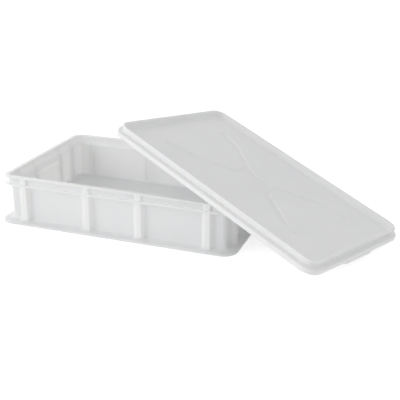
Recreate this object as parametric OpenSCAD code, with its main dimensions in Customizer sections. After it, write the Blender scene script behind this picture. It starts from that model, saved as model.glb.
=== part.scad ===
// Dough proofing container: a stacking crate of plain white polyethylene and its lid.
// The crate stands on its foot, centred on the origin. Its long side runs along X.
// The lid is off, and leans on the crate's right rim with one corner on the ground.

/* [Footprint] */
// Length over the foot, which is the widest part of the crate
foot_l = 600; // [500:5:800]
// Width over the foot
foot_w = 400; // [340:5:600]
// Corner radius of the foot, seen from above
foot_r = 36; // [33:1:60]
// Height of the crate
crate_h = 118; // [104:1:320]

/* [Crate wall] */
// Thickness of the walls
wall_t = 3; // [2.4:0.1:4]
// How far the rim stays inside the foot, on each side
rim_inset = 9; // [7:0.5:11]
// How far the rim stands out from the neck under it
rim_reach = 10; // [7:0.5:11]
// How far the rim stands out from the wall panels
panel_depth = 16; // [14:0.5:17]
// Thickness of the rim and of the lower flange
flange_t = 3.5; // [2.5:0.5:5]
// Height of the neck between the rim and the lower flange
neck_h = 16; // [12:1:22]
// Height of the inner step's lower edge over the lower flange's underside
step_rise = 1; // [0:0.5:3]
// Height of the sloping step inside
step_h = 7; // [3:0.5:9]

/* [Crate floor and foot] */
// Thickness of the floor
floor_t = 2.5; // [2:0.1:4]
// Free height under the floor, which takes the rim of a crate below
base_gap = 3.5; // [3:0.5:6]
// Height of the foot's outer edge
foot_edge_h = 4.5; // [4:0.5:8]
// Thickness of the foot's outer lip
foot_lip_t = 3; // [2:0.5:4]
// Radius where the panels meet the foot
foot_fillet_r = 6; // [3:0.5:8]
// Radius where the walls meet the floor inside
floor_fillet_r = 7; // [4:0.5:7.5]
// Free play between a nested ring and the mouth it drops into, on each side
nest_play = 1; // [0.5:0.25:2]
// Thickness of the nesting ring and of the ribs under the floor
base_rib_t = 3; // [2:0.5:4]
// Ribs under the floor along each direction, at most this far apart
base_rib_pitch = 90; // [60:5:140]

/* [Crate ribs] */
// Distance of the inner pair of long side ribs from the middle
long_rib_inner = 66; // [50:1:90]
// Distance of the outer pair of long side ribs from the crate's ends
long_rib_margin = 67; // [60:1:110]
// Distance of the inner pair of end ribs from the middle
end_rib_inner = 62; // [50:1:75]
// Distance of the outer pair of end ribs from the crate's long sides
end_rib_margin = 71; // [60:1:90]
// Width of a rib at its face
rib_face_w = 15; // [12:1:20]
// Width of a rib where it leaves the wall
rib_root_w = 26; // [20:1:28]
// How far the rib's face stays behind the rim's edge
rib_setback = 4.5; // [4:0.5:8]
// Width of the shallow groove inside, behind each rib
groove_w = 8; // [6:1:10]
// Depth of that groove
groove_d = 2; // [1:0.5:3]

/* [Hand grips] */
// How far the end wall stands in, between its middle ribs, to make room for the fingers
bay_depth = 4; // [2:0.5:5]
// How far that bay's upper edge lies under the step inside
bay_drop = 16; // [12:1:24]
// Space between the bay and the ribs beside it
bay_clear = 2; // [1:0.5:4]

/* [Lid] */
// Height of the lid
lid_h = 26; // [24:1:36]
// Height of the skirt's straight part
skirt_h = 9; // [8.5:0.5:11]
// Thickness of the skirt
skirt_t = 3; // [2:0.5:4]
// Thickness of the shoulder that lies on the crate's rim
shoulder_t = 3; // [2:0.5:4]
// How far the lid's collar stays inside the skirt's outer face
collar_inset = 12; // [11:0.5:14]
// How far the lid's top lip stands out from its collar
lip_reach = 3; // [1:0.5:4]
// Thickness of the top lip
lip_t = 4; // [3:0.5:6]
// Width of the flat top of the rim around the tray
lip_w = 6; // [4:0.5:7]
// Height of the tray's panel above the skirt's lower edge
tray_h = 12; // [11:0.5:14]
// Thickness of the panel
panel_t = 2.5; // [2:0.1:3]
// Radius where the tray's wall meets the panel
tray_r = 9; // [6:0.5:10]
// Width of the finger tab at each end
tab_w = 116; // [60:2:160]
// How far the finger tab reaches below the skirt
tab_h = 6; // [3:0.5:8]
// Depth of the cross-shaped channel in the panel
channel_d = 3; // [1.5:0.5:3]
// Ribs under the panel along each direction, at most this far apart
lid_rib_pitch = 110; // [80:5:160]
// Thickness of the ribs under the panel
lid_rib_t = 2.5; // [2:0.5:3]

/* [Lid at rest] */
// How far the lid is turned from the crate's long axis
lean_turn = 20; // [10:1:26]
// How far the lid's middle lies beyond the rim, down its slope
lean_past = 8; // [5:1:40]
// How far the lid's middle lies in front of the crate's middle
lean_front = 30; // [15:1:50]
// Clearance between the lid and the rim that carries it
lean_gap = 0.3; // [0.2:0.05:0.5]

/* [Hidden] */
$fn = 96;

// Reaches, measured outwards from the axes of the corners
foot_out = foot_r;
rim_out = foot_out - rim_inset;
neck_out = rim_out - rim_reach;
panel_out = rim_out - panel_depth;
rib_out = rim_out - rib_setback;
mouth_in = neck_out - wall_t;
cavity_in = panel_out - wall_t;
axis_x = foot_l / 2 - foot_r;
axis_y = foot_w / 2 - foot_r;
edge_break = 1;

// Places of the outer ribs, measured from the middle
long_rib_outer = foot_l / 2 - long_rib_margin;
end_rib_outer = foot_w / 2 - end_rib_margin;

// Heights on the crate
floor_top = base_gap + floor_t;
rim_under = crate_h - flange_t;
flange_top = rim_under - neck_h;
flange_under = flange_top - flange_t;
step_low = flange_under + step_rise;
step_top = step_low + step_h;
foot_slope_w = 1.5;
foot_slope_h = 1;
foot_top = foot_edge_h + 2 * foot_slope_h;
bay_top = step_low - bay_drop;
bay_w = 2 * (end_rib_inner - rib_root_w / 2 - bay_clear);

// The fillet at the floor may be no larger than the reach of the wall that it runs into
floor_r = min(floor_fillet_r, cavity_in);

// Heights and reaches on the lid
collar_out = foot_out - collar_inset;
lip_out = collar_out + lip_reach;
lip_in = lip_out - lip_w;
tray_flare = 4;
tray_in = lip_in - tray_flare;
shoulder_slope = 2;
shoulder_top = skirt_h + shoulder_slope;
shoulder_under = shoulder_top - shoulder_t;
panel_under = tray_h - panel_t;
arc_x = tray_in - tray_r;
arc_z = tray_h + tray_r;
back_r = tray_r + panel_t;
back_end = 20;
ring_out = mouth_in - nest_play;

// The lowest corner of the turned lid, measured down its slope from the lid's middle
lean_reach = axis_x * cos(lean_turn) + axis_y * sin(lean_turn) + foot_r;
lean_angle = asin((crate_h + lean_gap) / (lean_reach + lean_past));

function arc(cx, cy, r, from, to, steps = 6) =
    [for (i = [0 : steps]) let (a = from + (to - from) * i / steps) [cx + r * cos(a), cy + r * sin(a)]];

// A flat profile carried once around the rounded rectangle of the corner axes
module around() {
    for (turn = [0, 180]) rotate(turn) {
        translate([0, axis_y, 0]) rotate([90, 0, 90]) translate([0, 0, -axis_x])
            linear_extrude(2 * axis_x) children();
        translate([axis_x, 0, 0]) rotate([90, 0, 0]) translate([0, 0, -axis_y])
            linear_extrude(2 * axis_y) children();
        translate([axis_x, axis_y, 0]) rotate_extrude(angle = 90) children();
        translate([-axis_x, axis_y, 0]) rotate([0, 0, 90]) rotate_extrude(angle = 90) children();
    }
}

// Evenly spaced places across a span, at most a pitch apart, without the two ends
function spread(span, pitch) =
    let (n = ceil(span / pitch)) [for (i = [1 : n - 1]) -span / 2 + span * i / n];

module crate_profile() {
    polygon(concat(
        [[foot_out - foot_lip_t, 0], [foot_out, 0], [foot_out, foot_edge_h]],
        [[foot_out - foot_slope_w, foot_edge_h + foot_slope_h]],
        arc(panel_out + foot_fillet_r, foot_top + foot_fillet_r, foot_fillet_r, 270, 180),
        [[panel_out, flange_under], [rim_out, flange_under], [rim_out, flange_top]],
        [[neck_out, flange_top], [neck_out, rim_under], [rim_out, rim_under]],
        [[rim_out, crate_h - edge_break], [rim_out - edge_break, crate_h], [mouth_in, crate_h]],
        [[mouth_in, step_top], [cavity_in, step_low]],
        arc(cavity_in - floor_r, floor_top + floor_r, floor_r, 360, 270),
        [[0, floor_top], [0, base_gap], [foot_out - foot_lip_t, base_gap]]
    ));
}

// A ring of the given thickness and height, for nesting in the mouth of a crate below
module nesting_ring(thickness, low, high) {
    around() translate([ring_out - thickness, low]) square([thickness, high - low]);
}

// Crossing ribs that fill the ring, from a low to a high level
module rib_grid(pitch, thickness, low, high) {
    span_x = 2 * (axis_x + ring_out) - thickness;
    span_y = 2 * (axis_y + ring_out) - thickness;
    for (x = spread(span_x, pitch))
        translate([x - thickness / 2, -span_y / 2, low]) cube([thickness, span_y, high - low]);
    for (y = spread(span_y, pitch))
        translate([-span_x / 2, y - thickness / 2, low]) cube([span_x, thickness, high - low]);
}

// Half the width of a rib at a reach, between its root on the panel and its face
function rib_half(reach) =
    rib_root_w / 2 - (rib_root_w - rib_face_w) / 2 * (reach - panel_out) / (rib_out - panel_out);

// One height of a rib on a wall that faces +Y, rooted halfway into the wall behind it
module rib_stretch(axis, behind, low, high) {
    root = behind - wall_t / 2;
    translate([0, 0, low]) linear_extrude(high - low)
        polygon([
            [-rib_half(root), axis + root], [rib_half(root), axis + root],
            [rib_half(rib_out), axis + rib_out], [-rib_half(rib_out), axis + rib_out]
        ]);
}

// One outer rib, from the foot to the lower flange and on along the neck to the rim
module wall_rib(axis) {
    middle = flange_under + flange_t / 2;
    rib_stretch(axis, panel_out, foot_edge_h, middle);
    rib_stretch(axis, neck_out, middle, rim_under + flange_t / 2);
}

// The shallow groove inside, behind one rib: it follows the wall over its sloping step
module rib_groove(axis) {
    mouth = cavity_in - edge_break;
    low = floor_top + floor_r;
    translate([-groove_w / 2, axis, 0]) rotate([90, 0, 90]) linear_extrude(groove_w)
        polygon([
            [mouth, low], [cavity_in + groove_d, low], [cavity_in + groove_d, step_low],
            [mouth_in + groove_d, step_top], [mouth_in + groove_d, rim_under], [mouth, rim_under]
        ]);
}

// Puts a child made for the +Y wall on both long sides and on both ends
module at_ribs() {
    for (side = [0, 180], x = [-long_rib_outer, -long_rib_inner, long_rib_inner, long_rib_outer])
        rotate(side) translate([x, 0, 0]) children(0);
    for (side = [90, 270], y = [-end_rib_outer, -end_rib_inner, end_rib_inner, end_rib_outer])
        rotate(side) translate([y, 0, 0]) children(1);
}

// What the hand grip's bay takes from the outside of an end wall, in section
module bay_hollow() {
    out = axis_x + panel_out;
    high = bay_top - wall_t / 2;
    polygon(concat(
        arc(out - bay_depth + foot_fillet_r, foot_top + foot_fillet_r, foot_fillet_r, 270, 180),
        [[out - bay_depth, high - bay_depth], [out, high]],
        [[out + foot_fillet_r, high], [out + foot_fillet_r, foot_top]]
    ));
}

// The stretch of end wall that stands further in behind that bay, in section
module bay_wall() {
    back = axis_x + cavity_in - bay_depth;
    root = axis_x + cavity_in + wall_t / 2;
    low = floor_top - floor_t / 2;
    polygon(concat(
        arc(back - floor_r, floor_top + floor_r, floor_r, 360, 270),
        [[back - floor_r, low], [root, low], [root, bay_top]],
        [[axis_x + cavity_in, bay_top], [back, bay_top - bay_depth]]
    ));
}

// Carries a bay's section across both ends, between the inner ribs
module across_ends(width) {
    for (side = [0, 180])
        rotate(side) rotate([90, 0, 0]) translate([0, 0, -width / 2]) linear_extrude(width) children();
}

module container_body() {
    color("white") difference() {
        union() {
            around() crate_profile();
            translate([-axis_x, -axis_y, base_gap]) cube([2 * axis_x, 2 * axis_y, floor_t]);
            nesting_ring(base_rib_t, 0, base_gap + floor_t / 2);
            rib_grid(base_rib_pitch, base_rib_t, 0, base_gap + floor_t / 2);
            at_ribs() {
                wall_rib(axis_y);
                wall_rib(axis_x);
            }
            across_ends(bay_w + 2 * wall_t) bay_wall();
        }
        at_ribs() {
            rib_groove(axis_y);
            rib_groove(axis_x);
        }
        across_ends(bay_w) bay_hollow();
    }
}

module lid_profile() {
    polygon(concat(
        [[foot_out - skirt_t, 0], [foot_out, 0]],
        [[foot_out, skirt_h], [foot_out - shoulder_slope, shoulder_top]],
        [[collar_out, shoulder_top], [collar_out, lid_h - lip_t], [lip_out, lid_h - lip_t]],
        [[lip_out, lid_h - edge_break], [lip_out - edge_break, lid_h], [lip_in, lid_h]],
        arc(arc_x, arc_z, tray_r, 360, 270),
        [[0, tray_h], [0, panel_under]],
        arc(arc_x, arc_z, back_r, 270, 360 - back_end),
        [[collar_out - wall_t, arc_z - back_r * sin(back_end)], [collar_out - wall_t, shoulder_under]],
        [[foot_out - skirt_t, shoulder_under]]
    ));
}

// One quarter of the cross-shaped channel's outline, as offsets from the lid's middle
channel_hub = [52, 22];
channel_side = [30, 20];
channel_bend = [150, 104];
channel_tip = [205, 112];
channel_tip_w = 14;
channel_inner = [165, 92];
function channel_quarter(g) = [
    [channel_side[0], channel_side[1] + g],
    [channel_bend[0], channel_bend[1] + 1.3 * g],
    [channel_tip[0] + g, channel_tip[1] + g],
    [channel_tip[0] + g, channel_tip[1] - channel_tip_w - g],
    [channel_inner[0], channel_inner[1] - 1.3 * g],
    [channel_hub[0] + 1.5 * g, channel_hub[1]]
];
function backwards(list) = [for (i = [len(list) - 1 : -1 : 0]) list[i]];
function signed(list, sx, sy) = [for (p = list) [sx * p[0], sy * p[1]]];

module channel_outline(g) {
    q = channel_quarter(g);
    polygon(concat(q, backwards(signed(q, 1, -1)), signed(q, -1, -1), backwards(signed(q, -1, 1))));
}

// The lid lying flat, its skirt's lower edge at the ground and its middle on the origin
module lid_flat() {
    difference() {
        union() {
            around() lid_profile();
            translate([-axis_x, -axis_y, panel_under]) cube([2 * axis_x, 2 * axis_y, panel_t]);
            translate([0, 0, panel_under - channel_d])
                linear_extrude(channel_d + panel_t / 2) channel_outline(panel_t);
            nesting_ring(lid_rib_t, 0, panel_under + panel_t / 2);
            rib_grid(lid_rib_pitch, lid_rib_t, 0, panel_under + panel_t / 2);
            for (end = [-1, 1])
                translate([end * (foot_l / 2 - skirt_t / 2) - skirt_t / 2, -tab_w / 2, -tab_h])
                    cube([skirt_t, tab_w, tab_h + skirt_h / 2]);
        }
        translate([0, 0, tray_h - channel_d]) linear_extrude(channel_d + 1) channel_outline(0);
    }
}

module lid() {
    color("gainsboro")
        translate([axis_x + rim_out, -lean_front, crate_h + lean_gap])
            rotate([0, lean_angle, 0]) translate([lean_past, 0, 0])
                rotate(-lean_turn) lid_flat();
}

container_body();
lid();
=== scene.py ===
"""Dough proofing container: the looks of the stacking crate and of the lid that leans on it."""
import math

import bmesh
import bpy
from mathutils import Matrix, Vector


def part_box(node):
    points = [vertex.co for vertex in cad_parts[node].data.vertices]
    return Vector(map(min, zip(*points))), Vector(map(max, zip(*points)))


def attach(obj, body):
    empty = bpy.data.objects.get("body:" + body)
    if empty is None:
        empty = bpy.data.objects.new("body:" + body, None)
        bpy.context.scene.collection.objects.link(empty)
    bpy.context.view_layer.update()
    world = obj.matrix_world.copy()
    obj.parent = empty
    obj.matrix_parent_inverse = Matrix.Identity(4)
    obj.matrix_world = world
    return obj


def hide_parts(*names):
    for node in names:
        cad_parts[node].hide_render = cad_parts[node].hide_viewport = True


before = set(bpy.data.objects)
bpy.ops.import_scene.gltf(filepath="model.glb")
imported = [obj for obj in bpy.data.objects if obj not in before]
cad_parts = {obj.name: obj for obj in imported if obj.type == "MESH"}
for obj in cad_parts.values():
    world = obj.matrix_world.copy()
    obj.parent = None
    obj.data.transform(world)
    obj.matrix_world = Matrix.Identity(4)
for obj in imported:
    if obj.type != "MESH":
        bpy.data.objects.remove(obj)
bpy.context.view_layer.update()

# Lengths in this script are millimetres until a mesh is made
MM = 0.001

# Crate: the sizes that the frame gives, and the ones that are read off the photograph
crate_low, crate_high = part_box("container_body")
foot_l = (crate_high.x - crate_low.x) / MM
foot_w = (crate_high.y - crate_low.y) / MM
crate_h = crate_high.z / MM
foot_r = 36.0
axis_x = foot_l / 2 - foot_r
axis_y = foot_w / 2 - foot_r
wall_t = 3.0
flange_t = 3.5
neck_h = 16.0
floor_t = 2.5
base_gap = 3.5
base_rib_t = 3.0
base_rib_pitch = 90.0
nest_play = 1.0

# Crate: reaches, measured outwards from the axes of the corners
foot_out = foot_r
rim_out = 27.0
neck_out = 17.0
panel_out = 11.0
rib_out = 22.5
mouth_in = neck_out - wall_t
cavity_in = panel_out - wall_t
ring_out = mouth_in - nest_play
ring_in = ring_out - base_rib_t
lip_in_foot = foot_out - 3.0

# Crate: heights
floor_top = base_gap + floor_t
foot_edge_h = 5.2
foot_top = 6.5
foot_fillet_r = 6.0
floor_fillet_r = 7.0
rim_under = crate_h - flange_t
flange_top = rim_under - neck_h
flange_under = flange_top - flange_t
step_low = flange_under + 1.0
step_top = step_low + 7.0
bay_top = step_low - 16.0
bay_depth = 4.0

# Crate: ribs on the walls
long_ribs = [-233.0, -66.0, 66.0, 233.0]
end_ribs = [-129.0, -62.0, 62.0, 129.0]
rib_root_half = 13.0
rib_face_half = 7.5
rib_slope = (rib_root_half - rib_face_half) / (rib_out - panel_out)
# How far a corner of a rib moves along the wall while a fillet swells the rib by 1
rib_spread = 0.63
# The shallow groove inside, behind each rib
groove_half = 4.0
groove_d = 1.0

# How many straight facets round one corner
FINE = 4
ARC = 12


def rounded(corners, steps=FINE, closed=False):
    """Rounds a line of (x, y, size) corners with circular arcs that start and end size away."""
    count = len(corners)
    points = [Vector(c[:2]) for c in corners]
    line = []
    for i, corner in enumerate(corners):
        if not closed and i in (0, count - 1):
            line.append(points[i])
            continue
        back = points[i - 1] - points[i]
        ahead = points[(i + 1) % count] - points[i]
        size = min(corner[2], 0.45 * back.length, 0.45 * ahead.length)
        back.normalize()
        ahead.normalize()
        weight = math.sqrt(max(0.0, (1 - back.dot(ahead)) / 2))
        for k in range(steps + 1):
            s = k / steps
            shares = ((1 - s) ** 2, 2 * s * (1 - s) * weight, s * s)
            spots = (points[i] + back * size, points[i], points[i] + ahead * size)
            total = sum(shares)
            line.append(sum((p * w for p, w in zip(spots, shares)), Vector((0, 0))) / total)
    return line


def around(end_line, side_line):
    """A ring of points from the outlines of an end wall and of a long wall, each (u, reach, z)."""
    ring = []
    for quarter in range(4):
        turn = math.radians(90 * quarter)
        out = Vector((math.cos(turn), math.sin(turn), 0))
        along = Vector((-math.sin(turn), math.cos(turn), 0))
        line = end_line if quarter % 2 == 0 else side_line
        depth, half = (axis_x, axis_y) if quarter % 2 == 0 else (axis_y, axis_x)
        for u, reach, z in line:
            ring.append(out * (depth + reach) + along * u + Vector((0, 0, z)))
        centre = out * depth + along * half
        reach, z = line[-1][1:]
        for k in range(1, ARC):
            a = turn + math.radians(90) * k / ARC
            ring.append(centre + Vector((reach * math.cos(a), reach * math.sin(a), z)))
    return ring


def skin(rings):
    """A mesh of quads between neighbouring rings, and the rows of its vertices."""
    mesh = bmesh.new()
    rows = [[mesh.verts.new(p * MM) for p in ring] for ring in rings]
    count = len(rows[0])
    for row, after in zip(rows, rows[1:]):
        for i in range(count):
            j = (i + 1) % count
            mesh.faces.new((row[i], row[j], after[j], after[i]))
    return mesh, rows


def lattice(pitch, thickness, bottom, top):
    """Crossing ribs that fill the nesting ring, as one closed mesh without inner faces."""
    halves = [axis_x + ring_out - thickness / 2, axis_y + ring_out - thickness / 2]
    cuts, solid = [], []
    for half in halves:
        count = math.ceil(2 * half / pitch)
        places = [-half + 2 * half * i / count for i in range(1, count)]
        edges = [p + side * thickness / 2 for p in places for side in (-1, 1)]
        cuts.append([-half] + edges + [half])
        solid.append([i % 2 == 1 for i in range(len(edges) + 1)])
    mesh = bmesh.new()
    corners = {}

    def corner(i, j, z):
        if (i, j, z) not in corners:
            corners[i, j, z] = mesh.verts.new(Vector((cuts[0][i], cuts[1][j], z)) * MM)
        return corners[i, j, z]

    def filled(i, j):
        inside = 0 <= i < len(solid[0]) and 0 <= j < len(solid[1])
        return inside and (solid[0][i] or solid[1][j])

    for i in range(len(solid[0])):
        for j in range(len(solid[1])):
            if not filled(i, j):
                continue
            square = [(i, j), (i + 1, j), (i + 1, j + 1), (i, j + 1)]
            mesh.faces.new([corner(*p, top) for p in square])
            mesh.faces.new([corner(*p, bottom) for p in reversed(square)])
            for k, (di, dj) in enumerate([(0, -1), (1, 0), (0, 1), (-1, 0)]):
                if not filled(i + di, j + dj):
                    a, b = square[k], square[(k + 1) % 4]
                    mesh.faces.new([corner(*a, bottom), corner(*b, bottom), corner(*b, top), corner(*a, top)])
    return mesh


def piece(name, mesh):
    """An object at the origin from a mesh in metres."""
    bmesh.ops.recalc_face_normals(mesh, faces=mesh.faces)
    data = bpy.data.meshes.new(name)
    mesh.to_mesh(data)
    mesh.free()
    obj = bpy.data.objects.new(name, data)
    bpy.context.scene.collection.objects.link(obj)
    return obj


def unite(obj, tool):
    """Joins tool into obj as one closed solid, and removes tool."""
    union = obj.modifiers.new("union", "BOOLEAN")
    union.operation = "UNION"
    union.solver = "EXACT"
    union.object = tool
    solid = obj.evaluated_get(bpy.context.evaluated_depsgraph_get())
    united = bpy.data.meshes.new_from_object(solid)
    obj.modifiers.clear()
    obj.data = united
    bpy.data.objects.remove(tool)


def finish_surface(obj, material, sharp=50):
    """Smooth shading that keeps hard edges, weighted by face area, and the material."""
    obj.data.materials.clear()
    obj.data.materials.append(material)
    obj.data.shade_smooth()
    obj.data.set_sharp_from_angle(angle=math.radians(sharp))
    weigh = obj.modifiers.new("weighted_normals", "WEIGHTED_NORMAL")
    weigh.weight = 80
    weigh.keep_sharp = True


def rib_half(reach):
    """Half the width of a wall rib at a reach."""
    return rib_root_half - rib_slope * (reach - panel_out)


def wall_line(places, half_length, bases, tip, half, shift, root_size, tip_size):
    """A wall's outline from above: it steps to tip at each rib, and to its base between them.

    half gives a rib's half width at a reach, and shift moves both its corners along the wall."""
    corners = [(-half_length, bases[0], 0)]
    narrow = min(half(tip), half(max(bases)) - 0.5) + shift
    for place, before, after in zip(places, bases, bases[1:]):
        corners.append((place - half(before) - shift, before, root_size))
        corners.append((place - narrow, tip, tip_size))
        corners.append((place + narrow, tip, tip_size))
        corners.append((place + half(after) + shift, after, root_size))
    corners.append((half_length, bases[-1], 0))
    return rounded(corners)


def crate_ring(z, base, bay, tip, half, shift, sizes, reach=None):
    """A level ring of the crate. With a reach it is plain, and keeps only the ribs' places."""
    lines = []
    for places, half_length, drop in ((end_ribs, axis_y, bay), (long_ribs, axis_x, 0.0)):
        bases = [base, base, base - drop, base, base]
        line = wall_line(places, half_length, bases, tip, half, shift, *sizes)
        lines.append([(u, r if reach is None else reach, z) for u, r in line])
    return around(*lines)


def outer_ring(z, base=panel_out, swell=0.0, bay=0.0, reach=None):
    """A ring of the outside, where a fillet has swelled wall and ribs by swell."""
    def half(r):
        return rib_half(r - swell)
    sizes = (5.0 + 0.4 * swell, 1.6 + rib_spread * swell)
    return crate_ring(z, base + swell, bay, rib_out + swell, half, rib_spread * swell, sizes, reach)


def inner_ring(z, base=cavity_in, groove=1.0, bay=0.0, swell=0.0):
    """A ring of the inside. groove says how deep the grooves behind the ribs are, up to 1."""
    def half(r):
        return groove_half - 1.5 * (r - base + swell) / groove_d
    tip = base - swell + groove * groove_d
    return crate_ring(z, base - swell, bay, tip, half, 0.0, (1.2, 1.0))


def quarter_turn(steps):
    """Shares of a quarter circle's two sides, from (0, 0) to (1, 1)."""
    angles = [math.radians(90) * k / steps for k in range(steps + 1)]
    return [(1 - math.cos(a), math.sin(a)) for a in angles]


def crate_rings():
    """All rings of the crate, from under its floor over the rim to the floor inside."""
    rings = []
    under = rounded([
        (ring_in - 1.5, base_gap, 0), (ring_in, base_gap, 1.0), (ring_in, 0, 0.7), (ring_out, 0, 0.7),
        (ring_out, base_gap, 1.0), (lip_in_foot, base_gap, 1.0), (lip_in_foot, 0, 0.7),
        (foot_out, 0, 0.8), (foot_out, foot_edge_h, 1.2), (foot_out - 5, foot_edge_h + 0.3, 0),
    ], 3)
    rings += [outer_ring(p.y, swell=foot_fillet_r, reach=p.x) for p in under]
    for out, up in reversed(quarter_turn(6)):
        z = foot_top + foot_fillet_r * (1 - up)
        rings.append(outer_ring(z, swell=foot_fillet_r * out, bay=bay_depth))
    high = bay_top - wall_t / 2
    ledge = rounded([(bay_depth, foot_top + 14, 0), (bay_depth, high - bay_depth, 1.5), (0, high, 1.5), (0, high + 5, 0)])
    rings += [outer_ring(p.y, bay=p.x) for p in ledge]
    corner_r = 1.5
    for out, up in quarter_turn(3):
        rings.append(outer_ring(flange_under - corner_r * (1 - up), swell=corner_r * out))
    tip = rounded([
        (rim_out - 2, flange_under, 0), (rim_out, flange_under, 0.9), (rim_out, flange_top, 1.3),
        (rim_out - 2.4, flange_top, 0),
    ], 3)
    rings += [outer_ring(p.y, base=neck_out, reach=p.x) for p in tip]
    for out, up in reversed(quarter_turn(3)):
        rings.append(outer_ring(flange_top + corner_r * (1 - up), base=neck_out, swell=corner_r * out))
    for out, up in quarter_turn(3):
        rings.append(outer_ring(rim_under - corner_r * (1 - up), base=neck_out, swell=corner_r * out))
    rim = rounded([
        (rim_out - 2, rim_under, 0), (rim_out, rim_under, 0.9), (rim_out, crate_h, 1.5),
        (mouth_in, crate_h, 1.2), (mouth_in, rim_under + 1, 0),
    ], 3)
    rings += [outer_ring(p.y, base=neck_out, reach=p.x) for p in rim]
    for groove, drop in ((0.0, 0.3), (0.4, 0.5), (0.8, 1.0), (1.0, 2.0)):
        rings.append(inner_ring(rim_under - drop, base=mouth_in, groove=groove))
    step = rounded([(mouth_in, step_top + 6, 0), (mouth_in, step_top, 3), (cavity_in, step_low, 3), (cavity_in, step_low - 8, 0)])
    rings += [inner_ring(p.y, base=p.x) for p in step]
    ledge = rounded([(0, bay_top + 5, 0), (0, bay_top, 1.8), (bay_depth, bay_top - bay_depth, 1.8), (bay_depth, bay_top - 20, 0)])
    rings += [inner_ring(p.y, bay=p.x) for p in ledge]
    foot = floor_top + floor_fillet_r
    for groove, rise in ((1.0, 4), (0.8, 2), (0.4, 0.9), (0.0, 0.3)):
        rings.append(inner_ring(foot + rise, bay=bay_depth, groove=groove))
    for out, up in quarter_turn(8):
        rings.append(inner_ring(foot - floor_fillet_r * up, bay=bay_depth, groove=0, swell=floor_fillet_r * out))
    return rings


def make_crate(material):
    """The crate: one moulding, with its nesting ring and crossing ribs under the floor."""
    mesh, rows = skin(crate_rings())
    mesh.faces.new(rows[0])
    mesh.faces.new(rows[-1])
    crate = piece("crate_moulding", mesh)
    ribs = piece("crate_base_ribs", lattice(base_rib_pitch, base_rib_t, 0, base_gap + floor_t / 2))
    unite(crate, ribs)
    finish_surface(crate, material)
    return crate


# Lid: sizes, lying flat with its skirt's lower edge at height 0
lid_h = 26.0
skirt_h = 9.0
skirt_t = 3.0
shoulder_top = 11.0
shoulder_under = 8.0
collar_out = 24.0
lip_out = 27.0
lip_under = 22.0
lip_in = 21.0
tray_in = 17.0
tray_r = 9.0
tray_h = 12.0
panel_t = 2.5
panel_under = tray_h - panel_t
arc_x = tray_in - tray_r
arc_z = tray_h + tray_r
back_r = tray_r + panel_t
back_end = 20
lid_rib_t = 2.5
lid_rib_pitch = 110.0
tab_half = 58.0
tab_h = 6.0
channel_d = 3.0
pad_d = 3.0

# Lid at rest: its place on the crate's rim
lean_turn = 20.0
lean_past = 8.0
lean_front = 30.0
lean_gap = 0.3
lean_reach = axis_x * math.cos(math.radians(lean_turn)) + axis_y * math.sin(math.radians(lean_turn)) + foot_r
lean_angle = math.asin((crate_h + lean_gap) / (lean_reach + lean_past))


def lid_place():
    """The matrix that takes the flat lid, in metres, to its rest on the rim."""
    rim = Matrix.Translation(Vector((axis_x + rim_out, -lean_front, crate_h + lean_gap)) * MM)
    tip = Matrix.Rotation(lean_angle, 4, "Y")
    past = Matrix.Translation(Vector((lean_past, 0, 0)) * MM)
    turn = Matrix.Rotation(math.radians(-lean_turn), 4, "Z")
    return rim @ tip @ past @ turn


def lid_ring(reach, z, drop=0.0):
    """A ring of the lid. A drop of 1 lowers it by the full height of the two finger tabs."""
    tab = rounded([
        (-axis_y, 0, 0), (-tab_half - 0.7, 0, 1.5), (-tab_half + 0.7, tab_h, 3.0),
        (tab_half - 0.7, tab_h, 3.0), (tab_half + 0.7, 0, 1.5), (axis_y, 0, 0),
    ])
    end_line = [(p.x, reach, z - drop * p.y) for p in tab]
    side_line = [(-axis_x, reach, z), (axis_x, reach, z)]
    return around(end_line, side_line)


def arc(centre_x, centre_z, radius, start, end, steps):
    """Points of a circular arc, with its angles in degrees."""
    points = []
    for k in range(steps + 1):
        a = math.radians(start + (end - start) * k / steps)
        points.append((centre_x + radius * math.cos(a), centre_z + radius * math.sin(a)))
    return points


def lid_rings():
    """All rings of the lid, from under its panel round the skirt and lip to the tray's panel."""
    ring_out_lid = ring_out
    ring_in_lid = ring_out - lid_rib_t
    under = rounded([
        (arc_x, panel_under, 0), (ring_in_lid, panel_under + 0.4, 0.8), (ring_in_lid, 0, 0.6),
        (ring_out_lid, 0, 0.6), (ring_out_lid, panel_under + 1.1, 0.8), (ring_out_lid + 2, panel_under + 2, 0),
    ], 3)
    rings = [lid_ring(p.x, p.y) for p in under]
    rings += [lid_ring(*p) for p in arc(arc_x, arc_z, back_r, 315, 360 - back_end, 4)]
    shell = rounded([
        (collar_out - wall_t - 1.5, arc_z - back_r * math.sin(math.radians(back_end)), 0),
        (collar_out - wall_t, arc_z - back_r * math.sin(math.radians(back_end)), 0.6),
        (collar_out - wall_t, shoulder_under, 1.0), (foot_out - skirt_t, shoulder_under, 1.0),
        (foot_out - skirt_t, 3, 0),
    ], 3)
    rings += [lid_ring(p.x, p.y) for p in shell]
    edge = rounded([
        (foot_out - skirt_t, 1.5, 0), (foot_out - skirt_t, 0, 0.7), (foot_out, 0, 1.2), (foot_out, 2.0, 0),
    ], 3)
    rings += [lid_ring(p.x, p.y, 1.0) for p in edge]
    outside = rounded([
        (foot_out, 3.0, 0), (foot_out, skirt_h + 0.3, 1.6), (foot_out - 2, shoulder_top, 1.0),
        (collar_out, shoulder_top, 1.5), (collar_out, lip_under, 1.5), (lip_out, lip_under, 0.8),
        (lip_out, lid_h, 1.3), (lip_in, lid_h, 1.4), (tray_in, arc_z, 1.5),
    ], 3)[:-1]
    rings += [lid_ring(p.x, p.y) for p in outside]
    rings += [lid_ring(*p) for p in arc(arc_x, arc_z, tray_r, 360, 270, 10)]
    return rings


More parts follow.
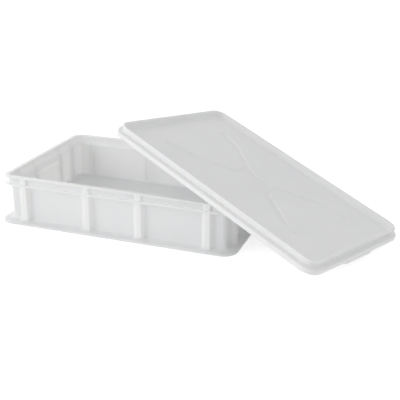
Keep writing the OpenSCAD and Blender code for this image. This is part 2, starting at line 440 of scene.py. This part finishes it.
# The cross-shaped channel in the tray: one quarter of its outline, from the lid's middle
channel_quarter = [
    (30, 20, 0, 1.0, 14), (150, 104, 0, 1.3, 30), (205, 112, 1, 1, 7),
    (205, 98, 1, -1, 7), (165, 92, 0, -1.3, 24), (52, 22, 1.5, 0, 12),
]


def channel_loop(grow):
    """The channel's closed outline, grown by a distance, with its corners rounded."""
    quarter = [(x + gx * grow, y + gy * grow, size) for x, y, gx, gy, size in channel_quarter]
    loop = list(quarter)
    loop += [(x, -y, size) for x, y, size in reversed(quarter)]
    loop += [(-x, -y, size) for x, y, size in quarter]
    loop += [(-x, y, size) for x, y, size in reversed(quarter)]
    return rounded(loop, 5, closed=True)


def add_channel(mesh, row, level, depth, widest, narrowest, steps):
    """Fills the plane inside row, with the channel sunk into it by easing walls."""
    loops = []
    for k in range(steps + 1):
        share = k / steps
        z = level - depth * share * share * (3 - 2 * share)
        grow = widest + (narrowest - widest) * share
        loops.append([mesh.verts.new(Vector((p.x, p.y, z)) * MM) for p in channel_loop(grow)])
    count = len(loops[0])
    for loop, after in zip(loops, loops[1:]):
        for i in range(count):
            j = (i + 1) % count
            mesh.faces.new((loop[i], loop[j], after[j], after[i]))
    fill_plane(mesh, [row, loops[0]])
    fill_plane(mesh, [loops[-1]])


def fill_plane(mesh, loops):
    """Triangles in the plane between closed loops."""
    edges = []
    for loop in loops:
        for a, b in zip(loop, loop[1:] + loop[:1]):
            edges.append(mesh.edges.get((a, b)) or mesh.edges.new((a, b)))
    bmesh.ops.triangle_fill(mesh, edges=edges, use_beauty=True, use_dissolve=False)


def make_lid(material):
    """The lid: one moulding with its skirt, lip, tray, channel and the ribs underneath."""
    mesh, rows = skin(lid_rings())
    add_channel(mesh, rows[-1], tray_h, channel_d, 2.4, -2.4, 6)
    add_channel(mesh, rows[0], panel_under, pad_d, panel_t + 1, panel_t - 1, 3)
    lid = piece("lid_moulding", mesh)
    ribs = piece("lid_base_ribs", lattice(lid_rib_pitch, lid_rib_t, 0, panel_under + 0.15))
    unite(lid, ribs)
    lid.data.transform(lid_place())
    finish_surface(lid, material)
    return lid


def plastic(name, colour, seed, depth):
    """Satin white polyethylene, which light enters to a depth, with fine grain and rubbed marks."""
    material = bpy.data.materials.new(name)
    material.use_nodes = True
    nodes = material.node_tree.nodes
    link = material.node_tree.links.new
    shader = nodes["Principled BSDF"]
    shader.inputs["IOR"].default_value = 1.5
    shader.inputs["Specular IOR Level"].default_value = 0.25
    shader.inputs["Subsurface Weight"].default_value = 1.0
    shader.inputs["Subsurface Radius"].default_value = (1.0, 0.95, 0.9)
    shader.inputs["Subsurface Scale"].default_value = depth
    place = nodes.new("ShaderNodeTexCoord").outputs["Object"]

    def noise(scale, detail, stretch=(1, 1, 1)):
        mapping = nodes.new("ShaderNodeMapping")
        mapping.inputs["Location"].default_value = (seed, 2 * seed, 3 * seed)
        mapping.inputs["Scale"].default_value = stretch
        link(place, mapping.inputs["Vector"])
        texture = nodes.new("ShaderNodeTexNoise")
        texture.inputs["Scale"].default_value = scale
        texture.inputs["Detail"].default_value = detail
        link(mapping.outputs["Vector"], texture.inputs["Vector"])
        return texture.outputs["Fac"]

    def spread(value, start, end, low, high):
        ranged = nodes.new("ShaderNodeMapRange")
        for key, number in (("From Min", start), ("From Max", end), ("To Min", low), ("To Max", high)):
            ranged.inputs[key].default_value = number
        link(value, ranged.inputs["Value"])
        return ranged.outputs["Result"]

    clouds = noise(9, 3)
    tint = nodes.new("ShaderNodeMix")
    tint.data_type = "RGBA"
    tint.inputs["A"].default_value = (*[c * 0.985 for c in colour], 1)
    tint.inputs["B"].default_value = (*colour, 1)
    link(spread(clouds, 0.35, 0.65, 0, 1), tint.inputs["Factor"])
    link(tint.outputs["Result"], shader.inputs["Base Color"])

    scuffs = noise(40, 6, (1, 6, 3))
    link(spread(scuffs, 0.45, 0.75, 0.4, 0.5), shader.inputs["Roughness"])

    grain = nodes.new("ShaderNodeBump")
    grain.inputs["Strength"].default_value = 0.08
    grain.inputs["Distance"].default_value = 0.0002
    link(noise(900, 2), grain.inputs["Height"])
    waves = nodes.new("ShaderNodeBump")
    waves.inputs["Strength"].default_value = 0.06
    waves.inputs["Distance"].default_value = 0.0015
    link(noise(14, 1), waves.inputs["Height"])
    link(grain.outputs["Normal"], waves.inputs["Normal"])
    link(waves.outputs["Normal"], shader.inputs["Normal"])
    return material


def seen_white(nodes, link):
    """1 for what the camera, a gloss or a clear material sees, and 0 for light on the object."""
    path = nodes.new("ShaderNodeLightPath")
    first = nodes.new("ShaderNodeMath")
    first.operation = "MAXIMUM"
    link(path.outputs["Is Camera Ray"], first.inputs[0])
    link(path.outputs["Is Glossy Ray"], first.inputs[1])
    both = nodes.new("ShaderNodeMath")
    both.operation = "MAXIMUM"
    link(first.outputs[0], both.inputs[0])
    link(path.outputs["Is Transmission Ray"], both.inputs[1])
    return both.outputs[0]


def make_floor():
    """A wide pale floor that shows white and keeps a light shadow of the object."""
    mesh = bmesh.new()
    bmesh.ops.create_grid(mesh, x_segments=1, y_segments=1, size=20)
    floor = piece("floor", mesh)
    material = bpy.data.materials.new("white_floor")
    material.use_nodes = True
    nodes = material.node_tree.nodes
    link = material.node_tree.links.new
    nodes.remove(nodes["Principled BSDF"])
    pale = nodes.new("ShaderNodeBsdfDiffuse")
    pale.inputs["Color"].default_value = (0.8, 0.8, 0.8, 1)
    glow = nodes.new("ShaderNodeEmission")
    lift = nodes.new("ShaderNodeMapRange")
    lift.inputs["To Min"].default_value = FLOOR_GLOW
    lift.inputs["To Max"].default_value = FLOOR_LIFT
    link(seen_white(nodes, link), lift.inputs["Value"])
    link(lift.outputs["Result"], glow.inputs["Strength"])
    total = nodes.new("ShaderNodeAddShader")
    link(pale.outputs[0], total.inputs[0])
    link(glow.outputs[0], total.inputs[1])
    link(total.outputs[0], nodes["Material Output"].inputs["Surface"])
    floor.data.materials.append(material)


# Light: the surroundings, brightest low on the left and dimmest high on the right, and two soft lamps
SKY_BRIGHT_SIDE = (-0.6, 0.0, -0.8)
SKY_HIGH = 0.84
SKY_LOW = 0.60
FLOOR_GLOW = 0.18
FLOOR_LIFT = 0.6
LAMP_DISTANCE = 6.0
LAMP_SIZE = 4.0
KEY_FROM = Vector((-0.74, -0.56, 0.36))
KEY_POWER = 90.0
BACK_FROM = Vector((-0.75, 0.65, 0.2))
BACK_POWER = 45.0


def make_lamp(name, direction, power):
    """A large round soft lamp that shines on the object from a direction."""
    data = bpy.data.lights.new(name, "AREA")
    data.shape = "DISK"
    data.size = LAMP_SIZE
    data.energy = power
    lamp = bpy.data.objects.new(name, data)
    lamp.location = direction.normalized() * LAMP_DISTANCE
    lamp.rotation_euler = direction.to_track_quat("Z", "Y").to_euler()
    bpy.context.scene.collection.objects.link(lamp)


def make_light():
    """Light from all round that is brightest low on the left, a lamp from the front left and one that shines
    through from behind.
    """
    world = bpy.data.worlds.new("studio")
    bpy.context.scene.world = world
    world.use_nodes = True
    nodes = world.node_tree.nodes
    link = world.node_tree.links.new
    side = nodes.new("ShaderNodeVectorMath")
    side.operation = "DOT_PRODUCT"
    side.inputs[1].default_value = SKY_BRIGHT_SIDE
    link(nodes.new("ShaderNodeTexCoord").outputs["Generated"], side.inputs[0])
    shade = nodes.new("ShaderNodeMapRange")
    shade.inputs["From Min"].default_value = -1.0
    shade.inputs["To Min"].default_value = SKY_LOW
    shade.inputs["To Max"].default_value = SKY_HIGH
    link(side.outputs["Value"], shade.inputs["Value"])
    strength = nodes.new("ShaderNodeMapRange")
    strength.inputs["To Max"].default_value = 1.0
    link(shade.outputs["Result"], strength.inputs["To Min"])
    link(seen_white(nodes, link), strength.inputs["Value"])
    nodes["Background"].inputs["Color"].default_value = (1, 1, 1, 1)
    link(strength.outputs["Result"], nodes["Background"].inputs["Strength"])

    make_lamp("key", KEY_FROM, KEY_POWER)
    make_lamp("back", BACK_FROM, BACK_POWER)


# Camera: fitted to the crate's edges in the photograph, a little wider to take in the whole lid
CAMERA_PLACE = Vector((0.77408, -1.72307, 0.75357))
CAMERA_AZIMUTH = 19.925
CAMERA_ELEVATION = 21.105
CAMERA_ROLL = 0.304
CAMERA_LENS = 71.95


def make_camera():
    """The photograph's view."""
    azimuth, elevation = math.radians(CAMERA_AZIMUTH), math.radians(CAMERA_ELEVATION)
    level = math.cos(elevation)
    back = Vector((math.sin(azimuth) * level, -math.cos(azimuth) * level, math.sin(elevation)))
    right = Vector((math.cos(azimuth), math.sin(azimuth), 0))
    turned = Matrix((right, back.cross(right), back)).transposed().to_4x4()
    roll = Matrix.Rotation(math.radians(CAMERA_ROLL), 4, "Z")
    data = bpy.data.cameras.new("camera")
    data.lens = CAMERA_LENS
    data.sensor_width = 36
    camera = bpy.data.objects.new("camera", data)
    camera.matrix_world = Matrix.Translation(CAMERA_PLACE) @ turned @ roll
    bpy.context.scene.collection.objects.link(camera)
    bpy.context.scene.camera = camera


make_camera()
make_floor()
make_light()
bpy.context.scene.view_settings.view_transform = "Standard"

# How far light enters the plastic, in metres
CRATE_DEPTH = 0.010
LID_DEPTH = 0.003

crate = make_crate(plastic("crate_polyethylene", (0.92, 0.925, 0.925), 3.0, CRATE_DEPTH))
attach(crate, "container")
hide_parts("container_body")

lid = make_lid(plastic("lid_polyethylene", (0.91, 0.915, 0.915), 8.0, LID_DEPTH))
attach(lid, "lid")
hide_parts("lid")
